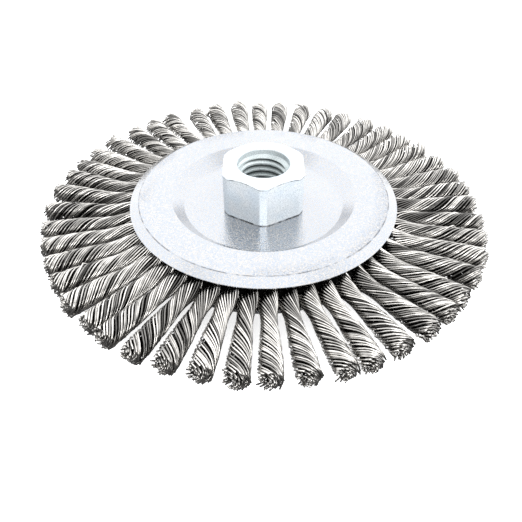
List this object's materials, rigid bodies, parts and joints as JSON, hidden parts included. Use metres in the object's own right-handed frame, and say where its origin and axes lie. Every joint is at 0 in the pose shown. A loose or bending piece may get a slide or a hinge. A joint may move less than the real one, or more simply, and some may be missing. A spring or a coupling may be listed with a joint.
{
  "type": "twist-knot wire wheel brush",
  "caption": "Round wire wheel brush: twisted steel wire knots stand out radially from between dished face plates, with a threaded hexagon arbor nut at the centre.",
  "frame": {"origin": "on the axis of the arbor thread, half way through the thickness of the wire knots", "axes": "+Z along the wheel's axis of rotation, out of the nut towards the grinder; -Y through one corner of the hexagon"},
  "size_m": [0.1252, 0.1252, 0.0216],
  "materials": {
    "nut_steel": "zinc-plated machined steel, satin, light blue-grey",
    "zinc_plate": "bright zinc-plated pressed steel, semi-mirror with fine speckle",
    "inner_steel": "plain rolled steel, hidden between the plates",
    "wire_steel": "bright drawn steel wire, twisted"
  },
  "bodies": {
    "root": {"arbor_nut": "nut_steel", "upper_face_plate": "zinc_plate", "lower_face_plate": "zinc_plate", "knot_carrier_disc": "inner_steel", "upper_clamp_ring": "inner_steel", "lower_clamp_ring": "inner_steel", "wire_knot_01": "wire_steel", "wire_knot_02": "wire_steel", "wire_knot_03": "wire_steel", "wire_knot_04": "wire_steel", "wire_knot_05": "wire_steel", "wire_knot_06": "wire_steel", "wire_knot_07": "wire_steel", "wire_knot_08": "wire_steel", "wire_knot_09": "wire_steel", "wire_knot_10": "wire_steel", "wire_knot_11": "wire_steel", "wire_knot_12": "wire_steel", "wire_knot_13": "wire_steel", "wire_knot_14": "wire_steel", "wire_knot_15": "wire_steel", "wire_knot_16": "wire_steel", "wire_knot_17": "wire_steel", "wire_knot_18": "wire_steel", "wire_knot_19": "wire_steel", "wire_knot_20": "wire_steel", "wire_knot_21": "wire_steel", "wire_knot_22": "wire_steel", "wire_knot_23": "wire_steel", "wire_knot_24": "wire_steel", "wire_knot_25": "wire_steel", "wire_knot_26": "wire_steel", "wire_knot_27": "wire_steel", "wire_knot_28": "wire_steel", "wire_knot_29": "wire_steel", "wire_knot_30": "wire_steel", "wire_knot_31": "wire_steel", "wire_knot_32": "wire_steel", "wire_knot_33": "wire_steel", "wire_knot_34": "wire_steel", "wire_knot_35": "wire_steel", "wire_knot_36": "wire_steel", "wire_knot_37": "wire_steel", "wire_knot_38": "wire_steel", "wire_knot_39": "wire_steel", "wire_knot_40": "wire_steel", "wire_knot_41": "wire_steel", "wire_knot_42": "wire_steel", "wire_knot_43": "wire_steel", "wire_knot_44": "wire_steel", "wire_knot_45": "wire_steel", "wire_knot_46": "wire_steel", "wire_knot_47": "wire_steel", "wire_knot_48": "wire_steel"}
  },
  "joints": []
}
